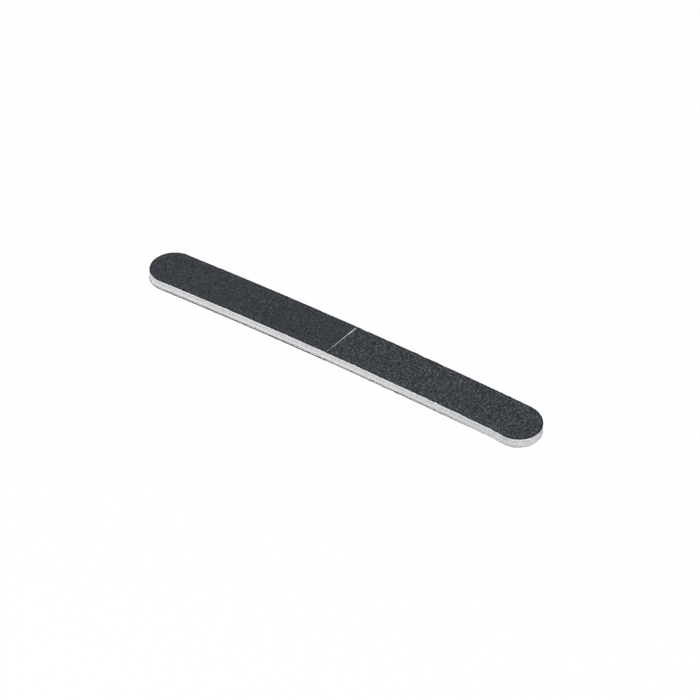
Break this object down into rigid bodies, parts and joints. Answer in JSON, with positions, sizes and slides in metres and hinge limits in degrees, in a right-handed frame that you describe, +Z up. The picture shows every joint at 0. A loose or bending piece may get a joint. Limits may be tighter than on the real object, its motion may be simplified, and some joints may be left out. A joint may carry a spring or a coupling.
{
  "type": "emery board",
  "caption": "Straight padded nail file with half-round ends, dark abrasive faces that are fine on one half and coarse on the other, and a pale foam core.",
  "frame": {"origin": "on the surface the board lies on, midway between its two tips, under the middle of the board", "axes": "+X along the board towards its coarse end, +Y across it, +Z up through its faces"},
  "size_m": [0.178, 0.019, 0.0063],
  "materials": {
    "fine_grit": "matte",
    "coarse_grit": "matte",
    "backing_paper": "matte",
    "cushion_foam": "matte",
    "core_plastic": "satin",
    "adhesive_film": "satin"
  },
  "bodies": {
    "root": {"core_board": "core_plastic", "upper_core_adhesive": "adhesive_film", "lower_core_adhesive": "adhesive_film", "upper_foam": "cushion_foam", "lower_foam": "cushion_foam", "upper_paper_adhesive": "adhesive_film", "lower_paper_adhesive": "adhesive_film", "upper_fine_paper": "backing_paper", "upper_coarse_paper": "backing_paper", "lower_fine_paper": "backing_paper", "lower_coarse_paper": "backing_paper", "upper_fine_grit": "fine_grit", "upper_coarse_grit": "coarse_grit", "lower_fine_grit": "fine_grit", "lower_coarse_grit": "coarse_grit"}
  },
  "joints": []
}
